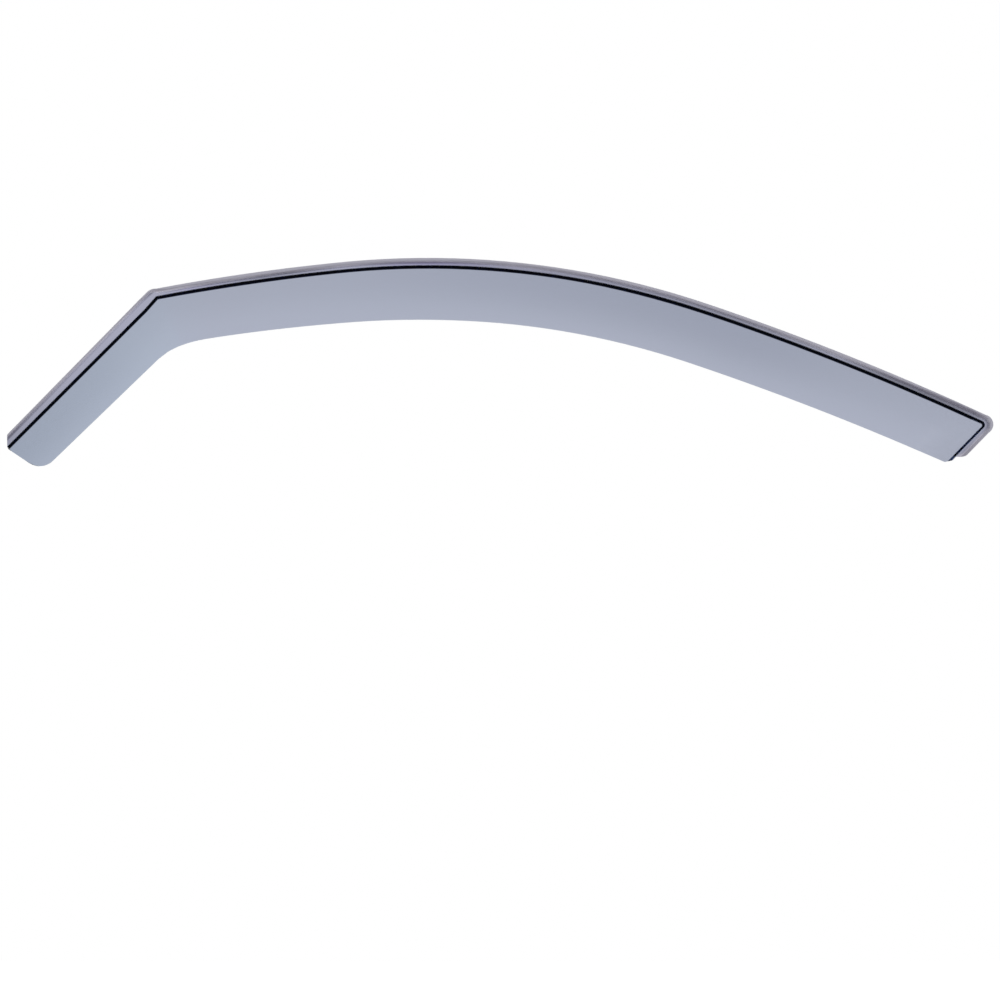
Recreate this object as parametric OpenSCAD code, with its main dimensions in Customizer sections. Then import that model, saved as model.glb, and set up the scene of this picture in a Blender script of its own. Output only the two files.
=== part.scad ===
// In-channel window rain deflector for a front door, formed from one tinted sheet.
// X runs along the roof towards the rear, Z is up, the outboard face looks to -Y.
// The origin is the highest point of the fold line, on the face that lies against the glass.

/* [Roof run] */
// Radius of the fold line over the crown of the roof
crown_r = 822; // [760:2:900]
// Turn of the crown arc ahead of the highest point, in degrees
crown_front_turn = 5.5; // [3:0.1:8]
// Turn of the crown arc behind the highest point, in degrees
crown_rear_turn = 18.6; // [14:0.1:22]
// Radius of the fold line between the crown and the front pillar corner
front_r = 1980; // [1400:20:3200]
// Radius of the fold line between the crown and the rear corner
rear_r = 2660; // [2000:20:4000]
// Length of the fold line from the highest point to the front pillar corner
roof_front = 260; // [200:1:300]
// Length of the fold line from the highest point to the rear corner
roof_rear = 555; // [460:1:600]

/* [Front pillar leg] */
// Length of the fold line from the pillar corner down to the front end
leg_len = 202; // [150:0.1:240]
// Rise of the leg, in degrees above level
leg_angle = 44.9; // [38:0.1:52]
// Length of the steeper stretch of the fold line just below the corner
lead_len = 17; // [12:0.5:24]
// Extra rise of that stretch, in degrees
lead_turn = 3.5; // [1:0.1:6]
// Radius that eases the leg into the steeper stretch
lead_r = 60; // [30:5:90]
// Radius of the fold line in the pillar corner
pillar_corner_r = 2.6; // [2.2:0.1:6]
// Slant of the visor's front end, in degrees from square to the leg
tip_cut_angle = 11.5; // [2:0.5:25]
// Radius of the visor's lower front corner
tip_corner_r = 18; // [6:0.5:20]
// Length along the fold that the inner curve of the visor takes on each side of the corner
inner_reach = 40; // [30:1:60]

/* [Rear end] */
// Turn of the fold line round the rear corner, in degrees
rear_turn = 109.5; // [95:0.5:120]
// Radius of the fold line in the rear corner
rear_corner_r = 2.9; // [2.4:0.1:6]
// Length cut off each side of the visor's lower rear point
rear_point_cut = 3; // [2.6:0.1:6]
// Distance along the rear edge from the corner to the start of the notch
notch_start = 33; // [24:0.5:36]
// Length over which the flange runs out into the notch
notch_run = 9; // [6:0.5:10]
// Extra flange width in the middle of the rear corner
rear_corner_extra = 1.5; // [0:0.1:3]

/* [Visor] */
// Visor width at the front end, from the fold line to the lower edge
visor_tip_w = 38.8; // [32:0.2:46]
// Visor width at the top of the leg
visor_pillar_w = 42.3; // [34:0.2:50]
// Visor width at the front of the roof
visor_front_w = 46.9; // [38:0.2:56]
// Visor width at its widest
visor_wide_w = 50.8; // [42:0.2:60]
// Visor width at the rear corner
visor_rear_w = 49.2; // [42:0.2:58]
// Place of the widest point, behind the highest point of the roof
wide_at = 40; // [0:5:120]
// Distance that the lower edge flares out beyond the fold
flare = 2; // [0:0.1:5]
// Rounding of the visor's lower edge
visor_edge_r = 0.9; // [0.3:0.1:1.2]

/* [Flange] */
// Flange width at the front end, from the fold line to the outer edge
flange_tip_w = 9.4; // [8.5:0.1:13]
// Flange width on the leg below the steeper stretch
flange_leg_w = 11.4; // [9:0.1:13]
// Flange width at the front of the roof
flange_roof_w = 8.5; // [8:0.1:12]
// Flange width at the rear corner and down the rear edge
flange_rear_w = 7.9; // [7.4:0.1:12]
// Slant of the flange's front end, in degrees from square to the leg
flange_cut_angle = 44; // [10:1:50]
// Radius of the flange's front corner
flange_corner_r = 3; // [1:0.1:4]
// Width of the thinned tongue along the leg
tongue_leg_d = 1.6; // [1:0.1:2.5]
// Width of the thinned tongue along the roof and the rear edge
tongue_roof_d = 3; // [1:0.1:3.4]
// Width of the slope between the tongue and the full sheet
shoulder_w = 1.8; // [0.8:0.1:2]
// Thickness of the tongue that enters the window channel
tongue_t = 1.6; // [1.2:0.1:2.4]
// Rounding of the tongue's outer edge
tongue_edge_r = 0.4; // [0.2:0.05:0.5]

/* [Sheet and step] */
// Thickness of the sheet
sheet_t = 3; // [2.6:0.1:4]
// Thickness of the step wall, thinned by the forming
wall_t = 2.5; // [2.2:0.1:3]
// Height of the step between flange and visor, face to face
step_h = 9.5; // [7:0.1:14]
// Height of the step at the visor's rear point
rear_step_h = 7; // [5:0.1:12]
// Inner radius of both folds of the step
fold_inner_r = 0.4; // [0.3:0.05:0.8]
// Outer radius of both folds of the step
fold_outer_r = 1.5; // [1:0.1:3]
// Foot of the step wall that is left where the flange is cut away
trim_w = 0.5; // [0.4:0.1:1]

/* [Door curve] */
// Radius of the door glass in plan
plan_r = 9000; // [4000:500:30000]
// Radius of the door glass from sill to roof
barrel_r = 1800; // [1000:100:6000]

/* [Hidden] */

// Numbers of steps along the run, and round each corner and fold
tip_steps = 8;
leg_steps = 8;
lead_steps = 2;
pillar_steps = 6;
inner_steps = 4;
roof_steps = 44;
rear_steps = 6;
rear_corner_steps = 12;
rear_edge_steps = 4;
notch_steps = 5;
fold_steps = 4;
edge_steps = 3;
// Share of the trimmed foot that the inner fold keeps
trim_fold_share = 0.5;
// Places of the sections across the visor, from the fold to the lower edge
plate_shares = [0.15, 0.4, 0.65, 0.85];
// Share of the visor's rear width over which the sections fan round to the rear edge
fan_share = 1.2;
// Length of that last stretch of the roof
rear_reach = rear_point_cut + fan_share * visor_rear_w;

function radians(a) = a * PI / 180;
function degrees(len, r) = len / r * 180 / PI;
function lerp(a, b, t) = a + (b - a) * t;
function smooth(t) = t * t * (3 - 2 * t);
function sag(d, r) = r - sqrt(r * r - d * d);
function heading(v) = atan2(v[1], v[0]);

// Unit vectors in the X-Z plane: along a heading, and outwards, to its left
function along(a) = [cos(a), sin(a)];
function out(a) = along(a + 90);

// Point where the line through p with heading a meets the line through q with heading b
function meet(p, a, q, b) = p + along(a) * cross(q - p, along(b)) / cross(along(a), along(b));

// A pose is a point with a heading. This one lies a length s further on, turning right at radius r
function run(pose, r, s) =
    let (a = pose[1] - degrees(s, r)) [pose[0] + r * (out(a) - out(pose[1])), a];

// Length that an arc of radius r takes from each side of a corner
function tangent(turn, r) = r * tan(abs(turn) / 2);

// Pose at share t of the arc of radius r that rounds the corner at p
function bend(p, a_in, a_out, r, t) =
    let (side = a_in > a_out ? 1 : -1, a = lerp(a_in, a_out, t))
    [p - tangent(a_in - a_out, r) * along(a_in) + side * r * (out(a) - out(a_in)), a];

// Fold line over the roof, by its length from the highest point, negative to the front
crown = [[0, 0], 0];
crown_front_len = crown_r * radians(crown_front_turn);
crown_rear_len = crown_r * radians(crown_rear_turn);
function roof_at(s) =
    s < -crown_front_len ? run(run(crown, crown_r, -crown_front_len), front_r, s + crown_front_len)
    : s > crown_rear_len ? run(run(crown, crown_r, crown_rear_len), rear_r, s - crown_rear_len)
    : run(crown, crown_r, s);
function roof_visor_w(s) =
    s < wide_at
    ? lerp(visor_front_w, visor_wide_w, smooth((s + roof_front) / (wide_at + roof_front)))
    : lerp(visor_wide_w, visor_rear_w, pow((s - wide_at) / (roof_rear - wide_at), 3));
function roof_lower(s) = let (p = roof_at(s)) p[0] - out(p[1]) * roof_visor_w(s);
function roof_flange_w(s) = lerp(flange_roof_w, flange_rear_w, (s + roof_front) / (roof_front + roof_rear));

// Fold line up the leg, by its length from the front end
pillar = roof_at(-roof_front);
lead_angle = leg_angle + lead_turn;
lead_start = pillar[0] - lead_len * along(lead_angle);
leg_start = lead_start - (leg_len - lead_len) * along(leg_angle);
lead_tangent = tangent(lead_turn, lead_r);
pillar_tangent = tangent(lead_angle - pillar[1], pillar_corner_r);
function leg_point(s) = leg_start + s * along(leg_angle);
function leg_lower(s) = leg_point(s) - out(leg_angle) * lerp(visor_tip_w, visor_pillar_w, s / leg_len);
function leg_flange_w(s) = lerp(flange_tip_w, flange_leg_w, min(s / (leg_len - lead_len), 1));
lower_leg_angle = heading(leg_lower(leg_len) - leg_lower(0));

// Front end: the slanted ends of visor and flange with their rounded corners
tip_corner = leg_lower(visor_tip_w * tan(tip_cut_angle));
tip_angle = heading(tip_corner - leg_start);
tip_run = visor_tip_w * tan(tip_cut_angle) + tangent(lower_leg_angle - tip_angle, tip_corner_r);
flange_cut_run = flange_tip_w * tan(flange_cut_angle);
flange_corner = leg_point(flange_cut_run) + out(leg_angle) * leg_flange_w(flange_cut_run);
flange_end_angle = heading(flange_corner - leg_start);
flange_arc_run = flange_cut_run + tangent(flange_end_angle - leg_angle, flange_corner_r);
function flange_tip(i) =
    i <= edge_steps ? bend(flange_corner, flange_end_angle, leg_angle, flange_corner_r, i / edge_steps)[0]
    : let (s = lerp(flange_arc_run, tip_run, (i - edge_steps) / (tip_steps - edge_steps)))
      leg_point(s) + out(leg_angle) * leg_flange_w(s);

// Pillar corner: the flange narrows along the steeper stretch so that its outer edge stays straight
flange_pillar_w = flange_leg_w - lead_len * sin(lead_turn);
inner_from = leg_lower(leg_len - inner_reach);
inner_to = roof_lower(inner_reach - roof_front);
inner_corner = meet(inner_from, lower_leg_angle, inner_to, roof_at(inner_reach - roof_front)[1]);
function inner_curve(t) = lerp(lerp(inner_from, inner_corner, t), lerp(inner_corner, inner_to, t), t);

// Rear end: the fold line turns down and forward to the visor's lower point
rear = roof_at(roof_rear);
rear_angle = rear[1] - rear_turn;
rear_tangent = tangent(rear_turn, rear_corner_r);
rear_point = rear[0] + visor_rear_w / sin(rear_turn) * along(rear_angle);
rear_end = rear_point - rear_point_cut * along(rear_angle);
rear_edge_len = norm(rear_end - rear[0]);
lower_from = roof_lower(roof_rear - rear_reach);
lower_end = rear_point - rear_point_cut * along(heading(rear_point - lower_from));
point_across = (rear_end - lower_end) / ((rear_end - lower_end) * out(rear_angle));
trimmed_w = wall_t / 2 + trim_w;
function rear_flange_w(s) =
    s < notch_start ? flange_rear_w
    : s < notch_start + notch_run
      ? lerp(trimmed_w, flange_rear_w, cos(90 * (s - notch_start) / notch_run))
    : trimmed_w;
function rear_share(s) = s / (rear_reach + rear_edge_len);
function rear_fold_h(s) = lerp(step_h, rear_step_h, s / rear_edge_len);
function rear_lower_h(share) = lerp(step_h + flare, rear_step_h, smooth(share));

// A section is [fold point, direction across the flange, direction across the visor,
// outer flange point, lower visor point, fold height, lower edge height, tongue width, flange width]
function square_section(pose, flange_w, lower, fold_h, lower_h, tongue_d) =
    let (across = out(pose[1]))
    [pose[0], across, across, pose[0] + across * flange_w, lower, fold_h, lower_h, tongue_d, flange_w];
// Direction across the fold line, slanted forward by an angle from square
function slanted(a, slant) = out(a) + tan(slant) * along(a);
function leg_section(s) =
    square_section([leg_point(s), leg_angle], leg_flange_w(s), leg_lower(s), step_h, step_h + flare, tongue_leg_d);
// Section in the pillar corner, d before or behind the corner along the fold
function corner_section(pose, flange_w, d, tongue_d) =
    square_section(pose, flange_w, inner_curve((d + inner_reach) / (2 * inner_reach)),
        step_h, step_h + flare, tongue_d);
function roof_section(s) =
    square_section(roof_at(s), roof_flange_w(s), roof_lower(s), step_h, step_h + flare, tongue_roof_d);
// Section in the rear fan, after length s of it
function rear_section(pose, flange_w, s, fold_h) =
    square_section(pose, flange_w, lerp(lower_from, lower_end, rear_share(s)), fold_h,
        rear_lower_h(rear_share(s)), tongue_roof_d);

front_sections = [
    for (i = [0 : tip_steps]) let (s = tip_run * i / tip_steps)
        [leg_point(s), slanted(leg_angle, i > 0 ? 0 : flange_cut_angle),
         slanted(leg_angle, i > 0 ? 0 : -tip_cut_angle), flange_tip(i),
         bend(tip_corner, tip_angle, lower_leg_angle, tip_corner_r, i / tip_steps)[0],
         step_h, step_h + flare, tongue_leg_d, leg_flange_w(s)],
    for (i = [1 : leg_steps]) leg_section(lerp(tip_run, leg_len - inner_reach, i / leg_steps))
];
lead_from = leg_len - lead_len;
corner_sections = [
    for (i = [0 : lead_steps])
        corner_section(bend(lead_start, leg_angle, lead_angle, lead_r, i / lead_steps),
            lerp(leg_flange_w(lead_from - lead_tangent), flange_leg_w, i / lead_steps),
            lead_from - leg_len + lead_tangent * (2 * i / lead_steps - 1), tongue_leg_d),
    for (i = [0 : pillar_steps]) let (t = i / pillar_steps)
        corner_section(bend(pillar[0], lead_angle, pillar[1], pillar_corner_r, t),
            lerp(flange_pillar_w, flange_roof_w, t), pillar_tangent * (2 * t - 1),
            lerp(tongue_leg_d, tongue_roof_d, t)),
    for (i = [1 : inner_steps]) let (d = lerp(pillar_tangent, inner_reach, i / inner_steps))
        corner_section(roof_at(d - roof_front), roof_flange_w(d - roof_front), d, tongue_roof_d)
];
roof_sections = [
    for (i = [1 : roof_steps])
        roof_section(lerp(inner_reach - roof_front, roof_rear - rear_reach, i / roof_steps))
];
rear_sections = [
    for (i = [1 : rear_steps]) let (s = (rear_reach - rear_tangent) * i / rear_steps)
        rear_section(roof_at(roof_rear - rear_reach + s), roof_flange_w(roof_rear - rear_reach + s), s, step_h),
    for (i = [1 : rear_corner_steps]) let (t = i / rear_corner_steps)
        rear_section(bend(rear[0], rear[1], rear_angle, rear_corner_r, t),
            flange_rear_w + rear_corner_extra * sin(180 * t), rear_reach + rear_tangent * (2 * t - 1),
            rear_fold_h(max(rear_tangent * (2 * t - 1), 0))),
    for (s = [
        for (i = [1 : rear_edge_steps]) lerp(rear_tangent, notch_start, i / rear_edge_steps),
        for (i = [1 : notch_steps]) notch_start + notch_run * i / notch_steps
    ])
        rear_section([rear[0] + s * along(rear_angle), rear_angle], rear_flange_w(s), rear_reach + s, rear_fold_h(s)),
    [rear_end, point_across, point_across, rear_end + point_across * trimmed_w, lower_end,
     rear_step_h, rear_step_h, tongue_roof_d, trimmed_w]
];
sections = concat(front_sections, corner_sections, roof_sections, rear_sections);

// Pairs of points through the sheet at one section, as [place, height] on the outboard face
// and on the glass face, from the flange's outer edge over the step to the visor's lower edge
function pairs(c) =
    let (
        p = c[0], fold_h = c[5], lower_h = c[6],
        inner_r = min(fold_inner_r, trim_fold_share * (c[8] - wall_t / 2)),
        face = p + c[1] * (wall_t / 2), back = p - c[2] * (wall_t / 2),
        flange_w = c[8] - wall_t / 2 - inner_r,
        // Step across the flange for one unit of its width, less where the flange is trimmed
        inward = (face + c[1] * inner_r - c[3]) / flange_w * min(1, flange_w / (c[7] + shoulder_w + inner_r)),
        start = p - c[2] * (wall_t / 2 + inner_r), plate = c[4] - start
    )
    [
        // Rounded outer edge of the tongue
        for (i = [edge_steps : -1 : 0]) let (
            f = 90 * i / edge_steps,
            d = c[3] + inward * tongue_edge_r * (1 - sin(f)),
            e = tongue_edge_r * (1 - cos(f)))
            [[d, tongue_t - e], [d, e]],
        // Inner end of the tongue, then the top of its slope
        let (d = c[3] + inward * c[7]) [[d, tongue_t], [d, 0]],
        let (d = c[3] + inward * (c[7] + shoulder_w)) [[d, sheet_t], [d, 0]],
        // Fold from the flange up into the step wall
        for (i = [0 : fold_steps]) let (f = 90 * i / fold_steps)
            [[face + c[1] * inner_r * (1 - sin(f)), sheet_t + inner_r * (1 - cos(f))],
             [back + c[1] * fold_outer_r * (1 - sin(f)), fold_outer_r * (1 - cos(f))]],
        // Fold from the step wall over into the visor
        for (i = [0 : fold_steps]) let (f = 90 * i / fold_steps)
            [[face - c[2] * fold_outer_r * (1 - cos(f)), fold_h + sheet_t - fold_outer_r * (1 - sin(f))],
             [back - c[2] * inner_r * (1 - cos(f)), fold_h - inner_r * (1 - sin(f))]],
        // Visor, flaring towards its lower edge
        for (t = plate_shares) let (h = lerp(fold_h, lower_h, t * t))
            [[start + plate * t, h + sheet_t], [start + plate * t, h]],
        // Rounded lower edge
        for (i = [0 : edge_steps]) let (
            f = 90 * i / edge_steps,
            t = 1 - visor_edge_r * (1 - sin(f)) / norm(plate),
            h = lerp(fold_h, lower_h, t * t),
            e = visor_edge_r * (1 - cos(f)))
            [[start + plate * t, h + sheet_t - e], [start + plate * t, h + e]]
    ];

// Puts a place and height onto the curved door glass
function lift(v) = [v[0][0], sag(v[0][0], plan_r) + sag(v[0][1], barrel_r) - v[1], v[0][1]];

// One closed skin: each section is a ring, out along one face and back along the other
module deflector() {
    rings = [
        for (c = sections) let (row = pairs(c))
            [for (v = row) lift(v[0]), for (i = [len(row) - 1 : -1 : 0]) lift(row[i][1])]
    ];
    count = len(rings[0]);
    last = len(rings) - 1;
    sides = [
        for (i = [0 : last - 1], j = [0 : count - 1])
            let (a = i * count + j, b = i * count + (j + 1) % count)
            each [[a, b + count, b], [a, a + count, b + count]]
    ];
    ends = [
        for (j = [0 : count / 2 - 2])
            let (a = j, b = j + 1, c = count - 2 - j, d = count - 1 - j, up = last * count)
            each [[a, b, c], [a, c, d], [up + a, up + c, up + b], [up + a, up + d, up + c]]
    ];
    color([0.64, 0.67, 0.73])
        polyhedron(points = [for (ring = rings) each ring], faces = concat(sides, ends), convexity = 6);
}

deflector();
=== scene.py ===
"""Looks of the window rain deflector: one warm-formed sheet of smoke-tinted acrylic.

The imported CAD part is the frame. Lengths are in metres, X runs along the roof towards the rear,
Z is up and the outboard face looks to -Y, as in the part. The fold line's own sizes are written
in millimetres, as on a drawing, and turned into metres once.
"""

import logging
import math
from dataclasses import dataclass, field
from enum import Enum

import bpy
import numpy as np
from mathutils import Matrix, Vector


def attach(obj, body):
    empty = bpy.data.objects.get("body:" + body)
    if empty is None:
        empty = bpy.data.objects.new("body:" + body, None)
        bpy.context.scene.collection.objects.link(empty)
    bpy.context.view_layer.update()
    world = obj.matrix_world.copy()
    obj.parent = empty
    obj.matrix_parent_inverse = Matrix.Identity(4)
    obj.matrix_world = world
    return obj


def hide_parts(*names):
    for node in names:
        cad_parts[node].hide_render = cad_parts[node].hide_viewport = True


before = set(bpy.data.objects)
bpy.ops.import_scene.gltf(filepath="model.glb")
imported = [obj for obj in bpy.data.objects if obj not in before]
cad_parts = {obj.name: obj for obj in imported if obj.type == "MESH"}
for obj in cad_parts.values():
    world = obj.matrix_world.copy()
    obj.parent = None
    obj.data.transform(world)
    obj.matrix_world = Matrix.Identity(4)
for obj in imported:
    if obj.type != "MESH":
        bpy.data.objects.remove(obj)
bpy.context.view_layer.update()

LOG = logging.getLogger("deflector")
MM = 0.001
WHITE = (1.0, 1.0, 1.0, 1.0)


def linear(colour: str) -> tuple[float, float, float]:
    """Turns an sRGB hex colour into linear light.

    Args:
        colour: six hex digits after a hash, as on a paint chart.

    Returns:
        Red, green and blue from 0 to 1.
    """
    parts = [int(colour[i : i + 2], 16) / 255 for i in (1, 3, 5)]
    return tuple(c / 12.92 if c <= 0.04045 else ((c + 0.055) / 1.055) ** 2.4 for c in parts)


def add(
    tree: bpy.types.NodeTree,
    kind: str,
    inputs: dict[str | int, object] | None = None,
    **settings: object,
) -> bpy.types.Node:
    """Adds a shader node with its settings and links.

    Args:
        tree: the node tree that gets the node.
        kind: Blender's name for the node type.
        inputs: a value or an output socket for each named or numbered input.
        **settings: the node's own properties.

    Returns:
        The new node.
    """
    made = tree.nodes.new(kind)
    for name, value in settings.items():
        setattr(made, name, value)
    for name, value in (inputs or {}).items():
        if isinstance(value, bpy.types.NodeSocket):
            tree.links.new(value, made.inputs[name])
        else:
            made.inputs[name].default_value = value
    return made


def lerp(a: float | np.ndarray, b: float | np.ndarray, t: float | np.ndarray) -> float | np.ndarray:
    """Returns the value a share t of the way from a to b."""
    return a + (b - a) * t


def only(piece: bpy.types.Object) -> None:
    """Makes a piece the one object that is selected and active."""
    bpy.ops.object.select_all(action="DESELECT")
    piece.select_set(True)
    bpy.context.view_layer.objects.active = piece


class Trace(Enum):
    """Numbers that the sheet's points carry, its faces for the last one, to place the finish and the
    painted shade.
    """

    ALONG = "along_mm"
    ACROSS = "across_mm"
    SLOPE = "slope_share"
    LINE = "line_share"
    PLACE = "shoulder_shade_place_mm"
    FACING = "facing_share"
    SHOULDER_SHADE = "shoulder_shade_share"
    BAND = "band_share"
    VIOLET = "violet_share"
    POOL = "pool_share"
    ROOF = "roof_share"
    SAWN = "sawn_face"


@dataclass(frozen=True)
class Rise:
    """A soft step in one trace, from nothing at low to all at full."""

    trace: Trace
    low: float
    full: float


# Where the flange begins, in millimetres from the fold line
ON_FLANGE = Rise(Trace.ACROSS, 1.2, 1.8)


class Blend(Enum):
    """How a tint meets the ones below it."""

    COVER = "MIX"
    FILTER = "MULTIPLY"


@dataclass(frozen=True)
class Layer:
    """A tint or painted shade in the sheet's faces, where each of its rises lets it through."""

    tint: str
    rises: tuple[Rise, ...]
    blend: Blend = Blend.COVER
    streaky: bool = False


@dataclass(frozen=True)
class Course:
    """A value that changes along the run, given at some lengths from the front end in millimetres."""

    stops: tuple[tuple[float, float], ...]

    def at(self, along: np.ndarray) -> np.ndarray:
        """Returns the value at some lengths along the run."""
        place, value = zip(*self.stops)
        return np.interp(along, place, value)


@dataclass(frozen=True)
class FoldLine:
    """The line where the flange steps up to the visor, in millimetres and degrees.

    It runs up the front pillar leg, over the roof and down the rear edge. Its sizes are the part's.
    """

    # Roof run
    crown_r: float = 822.0
    crown_front_turn: float = 5.5
    crown_rear_turn: float = 18.6
    front_r: float = 1980.0
    rear_r: float = 2660.0
    roof_front: float = 260.0
    roof_rear: float = 555.0
    # Front pillar leg, with its steeper stretch below the corner
    leg_len: float = 202.0
    leg_angle: float = 44.9
    lead_len: float = 17.0
    lead_turn: float = 3.5
    # Rear corner and rear edge
    rear_turn: float = 109.5
    rear_corner_r: float = 2.9
    rear_edge: float = 52.0
    # Greatest distances between the points of an arc
    step: float = 4.0
    corner_step: float = 0.6

    @property
    def roof_len(self) -> float:
        """Length of the roof run, from the pillar corner to the rear corner."""
        return self.roof_front + self.roof_rear

    def arc(self, start: list[float], radius: float, length: float, step: float) -> list[list[float]]:
        """Follows an arc that turns clockwise, or its first part backwards for a negative length.

        Args:
            start: x, z and the heading in degrees above level, where the arc starts.
            radius: radius of the arc.
            length: length to follow.
            step: greatest distance between two of its points.

        Returns:
            Rows of x, z and heading, the first row being the start.
        """
        x, z, heading = start
        rows = []
        for part in np.linspace(0, length, max(2, math.ceil(abs(length) / step) + 1)):
            turned = heading - math.degrees(part / radius)
            a, b = math.radians(heading), math.radians(turned)
            x_part = x + radius * (math.sin(a) - math.sin(b))
            z_part = z + radius * (math.cos(b) - math.cos(a))
            rows.append([x_part, z_part, turned])
        return rows

    def points(self) -> np.ndarray:
        """Works out the whole line from its front end to its rear point.

        Returns:
            Rows of x and z.
        """
        crown_front = self.crown_r * math.radians(self.crown_front_turn)
        crown_rear = self.crown_r * math.radians(self.crown_rear_turn)
        corner = self.rear_corner_r * math.tan(math.radians(self.rear_turn / 2))
        crown = [0.0, 0.0, 0.0]
        front = self.arc(crown, self.crown_r, -crown_front, self.step)
        front += self.arc(front[-1], self.front_r, crown_front - self.roof_front, self.step)[1:]
        rear = self.arc(crown, self.crown_r, crown_rear, self.step)
        rear += self.arc(rear[-1], self.rear_r, self.roof_rear - corner - crown_rear, self.step)[1:]
        turn = self.rear_corner_r * math.radians(self.rear_turn)
        rear += self.arc(rear[-1], self.rear_corner_r, turn, self.corner_step)[1:]
        roof = [row[:2] for row in front[::-1] + rear[1:]]
        lead = math.radians(self.leg_angle + self.lead_turn)
        leg = math.radians(self.leg_angle)
        edge = math.radians(rear[-1][2])
        lead_from = np.array(roof[0]) - self.lead_len * np.array([math.cos(lead), math.sin(lead)])
        foot = lead_from - (self.leg_len - self.lead_len) * np.array([math.cos(leg), math.sin(leg)])
        point = np.array(roof[-1]) + (self.rear_edge - corner) * np.array([math.cos(edge), math.sin(edge)])
        return np.array([foot, lead_from, *roof, point])

    def measure(self, places: np.ndarray) -> tuple[np.ndarray, np.ndarray]:
        """Finds where points lie along and across the line.

        Args:
            places: rows of x and z.

        Returns:
            Length along the line from its front end, and the distance across it, which is
            positive towards the flange.
        """
        line = self.points()
        start, run = line[:-1], np.diff(line, axis=0)
        length = np.linalg.norm(run, axis=1)
        begun = np.concatenate([[0], np.cumsum(length)[:-1]])
        off = places[:, None, :] - start[None]
        share = np.clip((off * run).sum(2) / length**2, 0, 1)
        apart = off - share[..., None] * run
        best = np.linalg.norm(apart, axis=2).argmin(1)
        rows = np.arange(len(places))
        share, apart = share[rows, best], apart[rows, best]
        # At a corner of the line the mean of both headings tells the two sides apart
        heading = run / length[:, None]
        next_one = np.where(share >= 1, np.minimum(best + 1, len(run) - 1), best)
        last_one = np.where(share <= 0, np.maximum(best - 1, 0), best)
        ahead = heading[next_one] + heading[last_one]
        side = ahead[:, 0] * apart[:, 1] - ahead[:, 1] * apart[:, 0]
        return begun[best] + share * length[best], np.sign(side) * np.linalg.norm(apart, axis=1)


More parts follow.
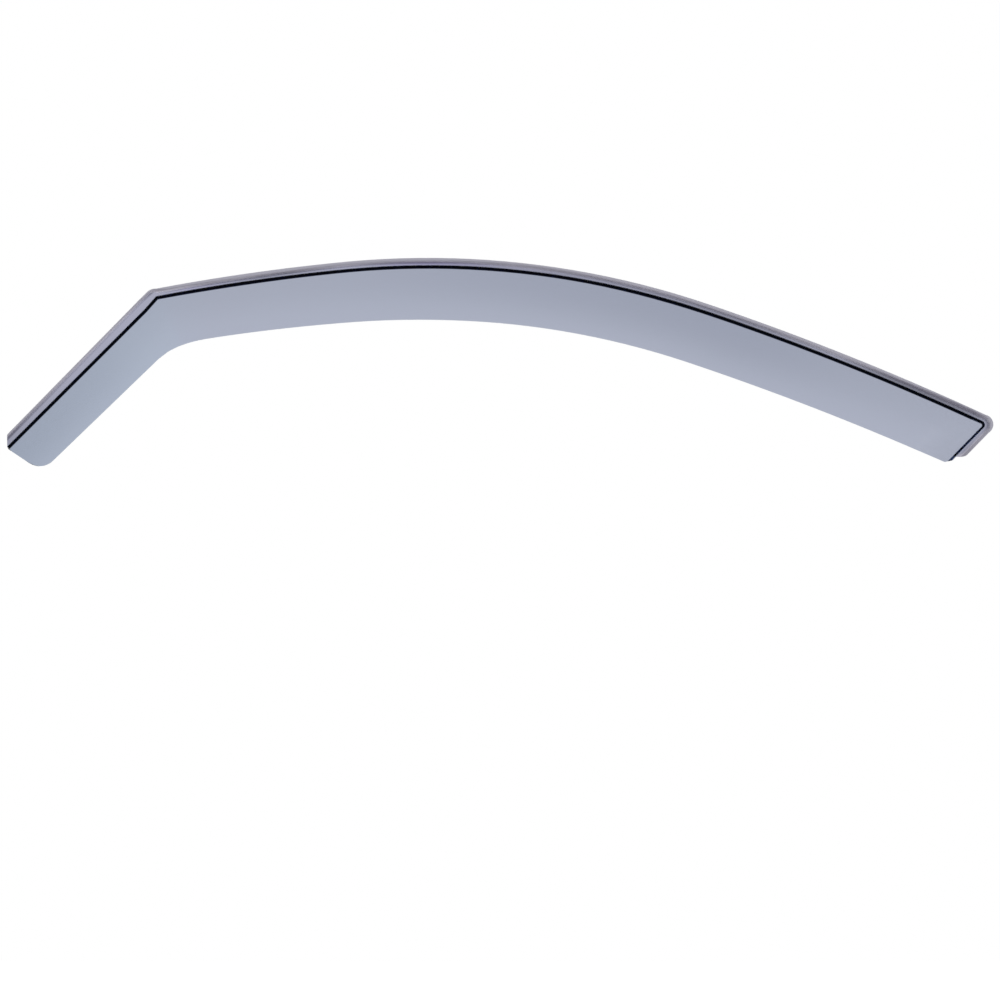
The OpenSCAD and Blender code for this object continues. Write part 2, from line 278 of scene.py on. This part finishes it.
@dataclass(frozen=True)
class SmokedAcrylic:
    """Cast acrylic (PMMA) with a smoke tint, sawn from sheet, warm-formed and milled at its tongue.

    The polished faces are clear and glossy, so the sheet shows what is behind it, dimmed by its
    tint: grey-blue through 3 mm. The visor is painted darker towards the fold as shade, and along the
    step wall, which is seen edge-on through 12 mm, near-black is painted on the faces as shade. The
    cutter leaves the tongue and its slope satin; beside the milled shoulder a purplish shade is painted
    in streaks along the run, and the sawn front end is satin, with near-black painted on it as shade.
    """

    # White seen through one thickness of sheet, and the room left above the strongest absorption
    sheet_mm: float = 3.0
    through_sheet: str = "#b0b9ca"
    density_margin: float = 1.05
    ior: float = 1.49
    # Roughness of the polished faces, what handling adds to it, and that of the cutter's face
    polish: float = 0.035
    haze: float = 0.03
    satin: float = 0.3
    milled: Rise = Rise(Trace.SLOPE, 1.1, 0.9)
    # Streaky noise that breaks up the painted shade beside the milled shoulder, its size along and across
    # the run
    shade_streak_mm: tuple[float, float] = (70.0, 1.4)
    shade_streak_rise: tuple[float, float] = (0.3, 0.62)
    shade_streak_least: float = 0.7
    shade_streak_detail: float = 2.0
    # Cutter lines, and how much both patterns waver
    cutter_mm: tuple[float, float] = (25.0, 0.6)
    cutter_depth_mm: float = 0.04
    waver: float = 0.4
    # Ripple that warm forming leaves
    ripple_mm: float = 70.0
    ripple_depth_mm: float = 0.08
    ripple_detail: float = 1.0
    # Hazy patches of handling, the size of a palm
    cloud_mm: float = 45.0
    cloud_rise: tuple[float, float] = (0.35, 0.7)
    cloud_detail: float = 3.0
    layers: tuple[Layer, ...] = (
        # The visor is painted darker towards the fold, as shade, and is darker in some pools along the run
        Layer("#f5f5f5", (Rise(Trace.ACROSS, -46.0, -3.0),)),
        Layer("#e7e8ea", (Rise(Trace.POOL, 0.0, 1.0), Rise(Trace.ACROSS, -62.0, -5.0))),
        # The roof run leans a little more to purple than the leg
        Layer("#fffafa", (Rise(Trace.ROOF, 0.0, 1.0),), Blend.FILTER),
        # Flange: the full sheet, its greyer band beside the wall, the milled tongue, and painted shade
        # beside the milled shoulder in purplish streaks
        Layer("#faf0f4", (ON_FLANGE,)),
        Layer("#b4abad", (Rise(Trace.BAND, 0.0, 1.0), ON_FLANGE)),
        Layer("#cec7cb", (Rise(Trace.SLOPE, 0.35, -0.2), ON_FLANGE)),
        # Painted shade beside the milled shoulder, broken into purplish streaks
        Layer(
            "#7d7680",
            (
                Rise(Trace.SHOULDER_SHADE, 0.0, 1.0),
                Rise(Trace.PLACE, -2.1, -0.5),
                Rise(Trace.PLACE, 2.7, 0.3),
                ON_FLANGE,
            ),
            streaky=True,
        ),
        Layer(
            "#f2ecff",
            (Rise(Trace.VIOLET, 0.0, 1.0), Rise(Trace.SLOPE, 0.0, 1.0), ON_FLANGE),
            Blend.FILTER,
        ),
        # Step wall seen edge-on: near-black painted on its faces as shade
        Layer(
            "#040d24",
            (Rise(Trace.FACING, 0.0, 1.0), Rise(Trace.LINE, 1.2, 0.8), Rise(Trace.LINE, -1.2, -0.8)),
        ),
        # Sawn front end: satin, with near-black painted on its faces as shade
        Layer("#0a0d12", (Rise(Trace.SAWN, 0.0, 1.0),)),
    )

    def absorption(self) -> tuple[tuple[float, float, float, float], float]:
        """Works out the volume's colour and density from the colour of white seen through one sheet.

        Returns:
            The colour of Volume Absorption and its density for each metre.
        """
        depth = [-math.log(c) / (self.sheet_mm * MM) for c in linear(self.through_sheet)]
        density = max(depth) * self.density_margin
        return (*(1 - d / density for d in depth), 1.0), density

    def material(self) -> bpy.types.Material:
        """Builds the material, with the tint in its volume and the finish of its faces from the traces.

        Returns:
            The material.
        """
        # Smoked acrylic: cast between glass plates, so it is clear and mirrors softly, and warm-formed,
        # which bends what it mirrors a little
        made = bpy.data.materials.new("smoked_acrylic_sheet")
        made.use_nodes = True
        tree = made.node_tree
        tree.nodes.clear()
        traces = {
            trace: add(tree, "ShaderNodeAttribute", attribute_name=trace.value).outputs["Fac"]
            for trace in Trace
        }
        worked = {0: self.share(tree, traces, (self.milled,)), 1: traces[Trace.SAWN]}
        worked = add(tree, "ShaderNodeMath", worked, operation="MAXIMUM").outputs[0]
        surface = {
            "Base Color": self.face_colour(tree, traces),
            "Roughness": self.roughness(tree, worked),
            "IOR": self.ior,
            "Transmission Weight": 1.0,
            "Normal": self.relief(tree, traces, worked),
        }
        shader = add(tree, "ShaderNodeBsdfPrincipled", surface)
        colour, density = self.absorption()
        inside = add(tree, "ShaderNodeVolumeAbsorption", {"Color": colour, "Density": density})
        add(tree, "ShaderNodeOutputMaterial", {"Surface": shader.outputs[0], "Volume": inside.outputs[0]})
        return made

    def share(
        self, tree: bpy.types.NodeTree, traces: dict[Trace, bpy.types.NodeSocket], rises: tuple[Rise, ...]
    ) -> bpy.types.NodeSocket:
        """Multiplies some rises into one share.

        Args:
            tree: the material's node tree.
            traces: the output socket of each trace.
            rises: the rises that all have to let something through.

        Returns:
            The socket of their product.
        """
        product = None
        for rise in rises:
            limits = {"Value": traces[rise.trace], "From Min": rise.low, "From Max": rise.full}
            part = add(tree, "ShaderNodeMapRange", limits, interpolation_type="SMOOTHSTEP").outputs[0]
            if product is not None:
                part = add(tree, "ShaderNodeMath", {0: product, 1: part}, operation="MULTIPLY").outputs[0]
            product = part
        return product

    def stretched(
        self,
        tree: bpy.types.NodeTree,
        traces: dict[Trace, bpy.types.NodeSocket],
        size_mm: tuple[float, float],
        detail: float,
    ) -> bpy.types.NodeSocket:
        """Draws a noise that is stretched along the run of the sheet.

        Args:
            tree: the material's node tree.
            traces: the output socket of each trace.
            size_mm: size of the pattern along and across the fold line.
            detail: the noise's detail.

        Returns:
            The noise's socket.
        """
        along, across = (
            add(tree, "ShaderNodeMath", {0: traces[t], 1: size}, operation="DIVIDE").outputs[0]
            for t, size in zip((Trace.ALONG, Trace.ACROSS), size_mm)
        )
        place = add(tree, "ShaderNodeCombineXYZ", {"X": along, "Y": across}).outputs[0]
        noise = {"Vector": place, "Scale": 1.0, "Detail": detail, "Distortion": self.waver}
        return add(tree, "ShaderNodeTexNoise", noise).outputs[0]

    def face_colour(
        self, tree: bpy.types.NodeTree, traces: dict[Trace, bpy.types.NodeSocket]
    ) -> bpy.types.NodeSocket:
        """Lays the tints and painted shades over each other, each where its rises and its streaks let it
        through.

        Args:
            tree: the material's node tree.
            traces: the output socket of each trace.

        Returns:
            The socket of the face colour.
        """
        streaks = self.stretched(tree, traces, self.shade_streak_mm, self.shade_streak_detail)
        low, full = self.shade_streak_rise
        limits = {"Value": streaks, "From Min": low, "From Max": full, "To Min": self.shade_streak_least}
        streaks = add(tree, "ShaderNodeMapRange", limits, interpolation_type="SMOOTHSTEP").outputs[0]
        below = WHITE
        for layer in self.layers:
            share = self.share(tree, traces, layer.rises)
            if layer.streaky:
                share = add(tree, "ShaderNodeMath", {0: share, 1: streaks}, operation="MULTIPLY").outputs[0]
            mixed = {0: share, 6: below, 7: (*linear(layer.tint), 1.0)}
            mixed = add(tree, "ShaderNodeMix", mixed, data_type="RGBA", blend_type=layer.blend.value)
            below = mixed.outputs[2]
        return below

    def roughness(self, tree: bpy.types.NodeTree, worked: bpy.types.NodeSocket) -> bpy.types.NodeSocket:
        """Keeps the faces polished, with the faint haze of handling, and the milled and sawn parts satin.

        Args:
            tree: the material's node tree.
            worked: the share of milled or sawn surface.

        Returns:
            The roughness socket.
        """
        place = add(tree, "ShaderNodeTexCoord").outputs["Object"]
        cloud = {"Vector": place, "Scale": 1 / (self.cloud_mm * MM), "Detail": self.cloud_detail}
        cloud = add(tree, "ShaderNodeTexNoise", cloud).outputs[0]
        low, full = self.cloud_rise
        limits = {"Value": cloud, "From Min": low, "From Max": full, "To Min": self.polish}
        limits["To Max"] = self.polish + self.haze
        polished = add(tree, "ShaderNodeMapRange", limits).outputs[0]
        mixed = {0: worked, 2: polished, 3: self.satin}
        return add(tree, "ShaderNodeMix", mixed, data_type="FLOAT").outputs[0]

    def relief(
        self,
        tree: bpy.types.NodeTree,
        traces: dict[Trace, bpy.types.NodeSocket],
        worked: bpy.types.NodeSocket,
    ) -> bpy.types.NodeSocket:
        """Adds the soft ripple of warm forming, and cutter lines on the milled and sawn parts.

        Cutter lines are about 0.1 mm apart, and are drawn coarser so that they show.

        Args:
            tree: the material's node tree.
            traces: the output socket of each trace.
            worked: the share of milled or sawn surface.

        Returns:
            The socket of the bumped normal.
        """
        place = add(tree, "ShaderNodeTexCoord").outputs["Object"]
        ripple = {"Vector": place, "Scale": 1 / (self.ripple_mm * MM), "Detail": self.ripple_detail}
        ripple = add(tree, "ShaderNodeTexNoise", ripple).outputs[0]
        formed = {"Height": ripple, "Strength": 1.0, "Distance": self.ripple_depth_mm * MM}
        formed = add(tree, "ShaderNodeBump", formed).outputs[0]
        lines = self.stretched(tree, traces, self.cutter_mm, 0.0)
        lines = {"Height": lines, "Strength": worked, "Normal": formed}
        lines["Distance"] = self.cutter_depth_mm * MM
        return add(tree, "ShaderNodeBump", lines).outputs[0]


@dataclass
class FormedSheet:
    """The whole deflector: flange with its milled tongue, step wall and visor, in one sheet.

    Its sizes are millimetres and degrees. The courses say where and how strong each tint and
    each painted shade is along the run.
    """

    fold: FoldLine = field(default_factory=FoldLine)
    finish: SmokedAcrylic = field(default_factory=SmokedAcrylic)
    # Joining and smoothing of the CAD mesh
    weld_mm: float = 0.001
    same_plane_deg: float = 20.0
    four_sided_deg: float = 60.0
    smooth_deg: float = 35.0
    # Reach of the sawn front end, and how far its faces turn towards the front
    sawn_mm: float = 12.0
    sawn_turn: float = 0.7
    # Flange widths, and the milled tongue with its slope, as in the part
    flange_tip_w: float = 9.4
    flange_leg_w: float = 11.4
    flange_roof_w: float = 8.5
    flange_rear_w: float = 7.9
    tongue_leg_d: float = 1.6
    tongue_roof_d: float = 3.0
    shoulder_w: float = 1.8
    # Lengths over which one stretch's flange and tint turn into the next one's
    blend_mm: float = 10.0
    tint_blend_mm: float = 120.0
    # Edges of the near-black painted as shade along the step wall, towards the flange and towards the visor
    line_from: Course = Course(
        (
            (190, 1.05), (252, 1.2), (372, 1.2), (402, 1.0), (462, 1.05), (522, 1.3), (672, 1.2),
            (762, 1.65), (852, 1.45), (972, 1.3), (1010, 1.2), (1022, 0.3),
        )
    )
    line_to: Course = Course(
        (
            (190, -2.05), (282, -2.25), (372, -2.05), (612, -2.05), (687, -2.35), (762, -2.05),
            (1010, -2.05), (1018, -1.3), (1022, -1.0),
        )
    )
    # The painted shade shows on faces that look this far outboard or inboard
    facing_from: float = 0.12
    facing_full: float = 0.37
    # Purplish painted shade beside the milled shoulder, in streaks: its place and spread across the fold,
    # and its strength
    shoulder_shade_at: Course = Course(
        (
            (0, 6.4), (197, 8.8), (207, 4.8), (232, 4.6), (302, 3.9), (382, 4.5), (462, 4.2),
            (562, 5.2), (662, 4.1), (932, 4.3), (982, 4.9), (1017, 4.6), (1027, 5.0),
        )
    )
    shoulder_shade_spread: Course = Course(((932, 1.0), (982, 1.3), (1017, 1.3), (1027, 3.0)))
    shoulder_shade: Course = Course(
        (
            (0, 0.0), (5, 0.78), (70, 0.44), (165, 0.28), (186, 0.4), (202, 0.58), (232, 0.64),
            (302, 0.9), (382, 0.66), (462, 0.7), (562, 0.53), (762, 0.7), (862, 0.44), (932, 0.8),
            (982, 1.0), (1006, 0.85), (1017, 0.5), (1027, 0.35), (1045, 0.46),
        )
    )
    # Strength of the flange's greyer band, of its violet cast and of the visor's darker pools
    band: Course = Course(
        (
            (0, 0.45), (70, 0.25), (165, 0.12), (232, 0.2), (302, 0.5), (382, 0.22), (462, 0.36),
            (562, 0.48), (762, 0.5), (862, 0.38), (932, 0.9), (982, 0.8), (1017, 0.45), (1027, 0.0),
        )
    )
    violet: Course = Course(
        ((200, 0.0), (232, 0.5), (302, 0.1), (400, 0.2), (462, 1.0), (532, 0.3), (850, 0.0))
    )
    pool: Course = Course(
        (
            (0, 0.9), (70, 0.6), (120, 0.45), (165, 0.05), (302, 0.1), (562, 0.7), (762, 1.0),
            (862, 0.5), (1000, 0.1),
        )
    )

    def build(self, node: bpy.types.Object) -> bpy.types.Object:
        """Models and dresses the sheet.

        Args:
            node: the CAD node that it stands for.

        Returns:
            The finished piece.
        """
        sheet = self.take(node)
        self.close_skin(sheet)
        self.smooth(sheet)
        self.write_traces(sheet)
        self.mark_sawn_end(sheet)
        sheet.data.materials.clear()
        sheet.data.materials.append(self.finish.material())
        return sheet

    def take(self, node: bpy.types.Object) -> bpy.types.Object:
        """Copies the CAD node with its own mesh.

        Args:
            node: the CAD node.

        Returns:
            The copy, free of the node's parent and notes.
        """
        only(node)
        bpy.ops.object.duplicate()
        sheet = bpy.context.view_layer.objects.active
        sheet.name = sheet.data.name = "formed_sheet"
        sheet.parent = None
        for key in list(sheet.keys()):
            del sheet[key]
        return sheet

    def close_skin(self, sheet: bpy.types.Object) -> None:
        """Joins the CAD mesh's loose triangles into one closed skin of four-sided faces.

        Args:
            sheet: the piece.
        """
        only(sheet)
        if sheet.data.has_custom_normals:
            bpy.ops.mesh.customdata_custom_splitnormals_clear()
        bpy.ops.object.mode_set(mode="EDIT")
        bpy.ops.mesh.select_all(action="SELECT")
        bpy.ops.mesh.remove_doubles(threshold=self.weld_mm * MM)
        bpy.ops.mesh.tris_convert_to_quads(
            face_threshold=math.radians(self.same_plane_deg),
            shape_threshold=math.radians(self.four_sided_deg),
        )
        bpy.ops.mesh.normals_make_consistent(inside=False)
        bpy.ops.object.mode_set(mode="OBJECT")

    def smooth(self, sheet: bpy.types.Object) -> None:
        """Shades the roundings smooth, and keeps flat faces flat and the milled slope crisp.

        Args:
            sheet: the piece.
        """
        only(sheet)
        bpy.ops.object.shade_smooth_by_angle(angle=math.radians(self.smooth_deg))
        bpy.ops.object.modifier_add(type="WEIGHTED_NORMAL")
        weighted = sheet.modifiers[-1]
        weighted.mode, weighted.keep_sharp = "FACE_AREA", True
        bpy.ops.object.modifier_apply(modifier=weighted.name)

    def traces(self, points: np.ndarray, normals: np.ndarray) -> dict[Trace, np.ndarray]:
        """Works out the traces of some points of the sheet.

        Args:
            points: rows of x, y and z in millimetres.
            normals: the mean surface normal at each point.

        Returns:
            The value of each trace at each point.
        """
        along, across = self.fold.measure(points[:, [0, 2]])
        corner, rear_corner = self.fold.leg_len, self.fold.leg_len + self.fold.roof_len
        on_leg = np.clip(along / corner, 0, 1)
        on_roof = np.clip((along - corner) / self.fold.roof_len, 0, 1)
        rear_edge = np.clip((along - rear_corner) / self.blend_mm, 0, 1)
        roof = np.clip((along - corner) / self.blend_mm + 0.5, 0, 1)
        leg_w = lerp(self.flange_tip_w, self.flange_leg_w, on_leg)
        roof_w = lerp(self.flange_roof_w, self.flange_rear_w, on_roof)
        foot = lerp(leg_w - self.tongue_leg_d, roof_w - self.tongue_roof_d, roof)
        line_from, line_to = self.line_from.at(along), self.line_to.at(along)
        facing = (np.abs(normals[:, 1]) - self.facing_from) / (self.facing_full - self.facing_from)
        return {
            Trace.ALONG: along,
            Trace.ACROSS: across,
            Trace.SLOPE: (foot - across) / self.shoulder_w,
            Trace.LINE: (2 * across - line_from - line_to) / (line_from - line_to),
            # Down the rear edge the painted shade fades out, and the wall is dark by its own depth alone
            Trace.FACING: np.clip(facing, 0, 1) * (1 - rear_edge),
            Trace.PLACE: (across - self.shoulder_shade_at.at(along)) / self.shoulder_shade_spread.at(along),
            Trace.SHOULDER_SHADE: self.shoulder_shade.at(along),
            Trace.BAND: self.band.at(along),
            Trace.VIOLET: self.violet.at(along),
            Trace.POOL: self.pool.at(along),
            Trace.ROOF: np.clip((along - corner) / self.tint_blend_mm + 0.5, 0, 1),
        }

    def write_traces(self, sheet: bpy.types.Object) -> None:
        """Writes the traces on the points of the sheet.

        Args:
            sheet: the piece.
        """
        mesh = sheet.data
        points = np.zeros((len(mesh.vertices), 3))
        normals = np.zeros((len(mesh.vertices), 3), np.float32)
        mesh.vertices.foreach_get("co", points.ravel())
        mesh.vertex_normals.foreach_get("vector", normals.ravel())
        for trace, value in self.traces(points / MM, normals).items():
            layer = mesh.attributes.new(trace.value, "FLOAT", "POINT")
            layer.data.foreach_set("value", value.astype(np.float32))

    def mark_sawn_end(self, sheet: bpy.types.Object) -> None:
        """Marks the faces of the sawn front end.

        Args:
            sheet: the piece.
        """
        mesh = sheet.data
        centres = np.zeros((len(mesh.polygons), 3), np.float32)
        normals = np.zeros((len(mesh.polygons), 3), np.float32)
        mesh.polygons.foreach_get("center", centres.ravel())
        mesh.polygons.foreach_get("normal", normals.ravel())
        foot, lead = self.fold.points()[:2]
        run = (lead - foot) / np.linalg.norm(lead - foot)
        near = self.fold.measure(centres[:, [0, 2]] / MM)[0] < self.sawn_mm
        sawn = near & (normals[:, [0, 2]] @ -run > self.sawn_turn)
        layer = mesh.attributes.new(Trace.SAWN.value, "FLOAT", "FACE")
        layer.data.foreach_set("value", sawn.astype(np.float32))


@dataclass(frozen=True)
class MattPaint:
    """White matt paint, rolled on a smooth floor: even, without gloss, and it takes a soft shadow.

    Light that comes through or off the acrylic doesn't meet it, so the sheet shows the background.
    """

    colour: str = "#f2f2f2"
    lift: float = 0.3

    def material(self) -> bpy.types.Material:
        """Builds the paint, which is clear from below.

        Returns:
            The material.
        """
        # Matt emulsion, rolled on: it scatters all light evenly, so only the soft shadow shows
        made = bpy.data.materials.new("matt_floor_paint")
        made.use_nodes = True
        tree = made.node_tree
        tree.nodes.clear()
        paint = add(tree, "ShaderNodeBsdfDiffuse", {"Color": (*linear(self.colour), 1.0)}).outputs[0]
        lift = add(tree, "ShaderNodeEmission", {"Strength": self.lift}).outputs[0]
        lit = add(tree, "ShaderNodeAddShader", {0: paint, 1: lift}).outputs[0]
        clear = add(tree, "ShaderNodeBsdfTransparent").outputs[0]
        hidden = add(tree, "ShaderNodeNewGeometry").outputs["Backfacing"]
        path = add(tree, "ShaderNodeLightPath").outputs
        for ray in ("Is Glossy Ray", "Is Transmission Ray"):
            hidden = add(tree, "ShaderNodeMath", {0: hidden, 1: path[ray]}, operation="MAXIMUM").outputs[0]
        both = add(tree, "ShaderNodeMixShader", {0: hidden, 1: lit, 2: clear}).outputs[0]
        add(tree, "ShaderNodeOutputMaterial", {"Surface": both})
        return made


@dataclass(frozen=True)
class SoftLamp:
    """A square softbox that looks at the deflector, its place and size in metres and power in watts."""

    name: str
    place: tuple[float, float, float]
    size: float
    power: float
    aim: tuple[float, float, float] = (0.068, 0.0, -0.1)

    def hang(self) -> None:
        """Adds the lamp to the scene; its own shape isn't mirrored in the sheet."""
        data = bpy.data.lights.new(self.name, "AREA")
        data.shape, data.size, data.energy = "SQUARE", self.size, self.power
        lamp = bpy.data.objects.new(self.name, data)
        lamp.location = self.place
        lamp.visible_glossy = False
        lamp.rotation_euler = (Vector(self.aim) - Vector(self.place)).to_track_quat("-Z", "Y").to_euler()
        bpy.context.scene.collection.objects.link(lamp)


@dataclass
class Studio:
    """A plain pale floor, a white background, two soft lamps and the photograph's camera."""

    paint: MattPaint = field(default_factory=MattPaint)
    lamps: tuple[SoftLamp, ...] = (
        SoftLamp("key_lamp", (-1.3, -1.5, 2.7), 1.6, 60.0),
        SoftLamp("fill_lamp", (2.9, -1.3, 1.2), 2.0, 35.0),
    )
    floor_z: float = -0.76
    floor_size: float = 12.0
    # Middle of the photograph's frame and the width that it shows there
    centre: tuple[float, float, float] = (0.068, 0.0, -0.2217)
    picture_w: float = 0.95
    lens_mm: float = 1000.0
    sensor_mm: float = 36.0
    clip_shares: tuple[float, float] = (0.01, 4.0)
    # Strength of the background as a lamp, and as mirrored from in front and on the way round to behind
    ambient: float = 0.85
    front_share: float = 0.04
    mirror_rise: tuple[float, float] = (0.0, 0.9)

    def build(self) -> None:
        """Sets the camera, the lamps, the floor and the background."""
        self.camera()
        for lamp in self.lamps:
            lamp.hang()
        self.floor()
        self.background()
        bpy.context.scene.view_settings.view_transform = "Standard"

    def camera(self) -> None:
        """Looks straight at the outboard face through a long lens, with the photograph's framing."""
        data = bpy.data.cameras.new("picture_camera")
        data.lens, data.sensor_width = self.lens_mm, self.sensor_mm
        distance = self.picture_w * self.lens_mm / self.sensor_mm
        x, y, z = self.centre
        made = bpy.data.objects.new("picture_camera", data)
        made.location = (x, y - distance, z)
        made.rotation_euler = (math.radians(90), 0, 0)
        data.clip_start, data.clip_end = (share * distance for share in self.clip_shares)
        bpy.context.scene.collection.objects.link(made)
        bpy.context.scene.camera = made

    def floor(self) -> None:
        """Lays the floor, which keeps the shadow."""
        bpy.ops.object.select_all(action="DESELECT")
        bpy.ops.mesh.primitive_plane_add(size=self.floor_size, location=(0, 0, self.floor_z))
        plane = bpy.context.view_layer.objects.active
        plane.name = plane.data.name = "floor"
        bpy.ops.object.transform_apply(location=True)
        plane.data.materials.append(self.paint.material())

    def background(self) -> None:
        """Shows white behind the sheet and through it, and a dimmer studio mirrored in its front."""
        world = bpy.data.worlds.new("white_studio")
        bpy.context.scene.world = world
        # Its strength depends on the kind of ray, so it isn't sampled as a lamp
        world.cycles.sampling_method = "NONE"
        world.use_nodes = True
        tree = world.node_tree
        tree.nodes.clear()
        path = add(tree, "ShaderNodeLightPath").outputs
        seen = {0: path["Is Camera Ray"], 1: path["Is Transmission Ray"]}
        seen = add(tree, "ShaderNodeMath", seen, operation="MAXIMUM").outputs[0]
        heading = add(tree, "ShaderNodeTexCoord").outputs["Generated"]
        depth = add(tree, "ShaderNodeSeparateXYZ", {0: heading}).outputs["Y"]
        low, full = self.mirror_rise
        limits = {"Value": depth, "From Min": low, "From Max": full, "To Min": self.front_share}
        mirrored = add(tree, "ShaderNodeMapRange", limits, interpolation_type="SMOOTHSTEP").outputs[0]
        soft = {0: path["Is Glossy Ray"], 2: self.ambient, 3: mirrored}
        soft = add(tree, "ShaderNodeMix", soft, data_type="FLOAT").outputs[0]
        strength = add(tree, "ShaderNodeMix", {0: seen, 2: soft, 3: 1.0}, data_type="FLOAT").outputs[0]
        shown = add(tree, "ShaderNodeBackground", {"Color": WHITE, "Strength": strength}).outputs[0]
        add(tree, "ShaderNodeOutputWorld", {"Surface": shown})


def main() -> None:
    """Builds the studio and the deflector, and reports each piece."""
    logging.basicConfig(level=logging.INFO, format="%(message)s")
    Studio().build()
    sheet = FormedSheet().build(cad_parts["deflector"])
    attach(sheet, "root")
    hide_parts("deflector")
    LOG.info("%s: one formed sheet, %d faces", sheet.name, len(sheet.data.polygons))


if __name__ == "__main__":
    main()
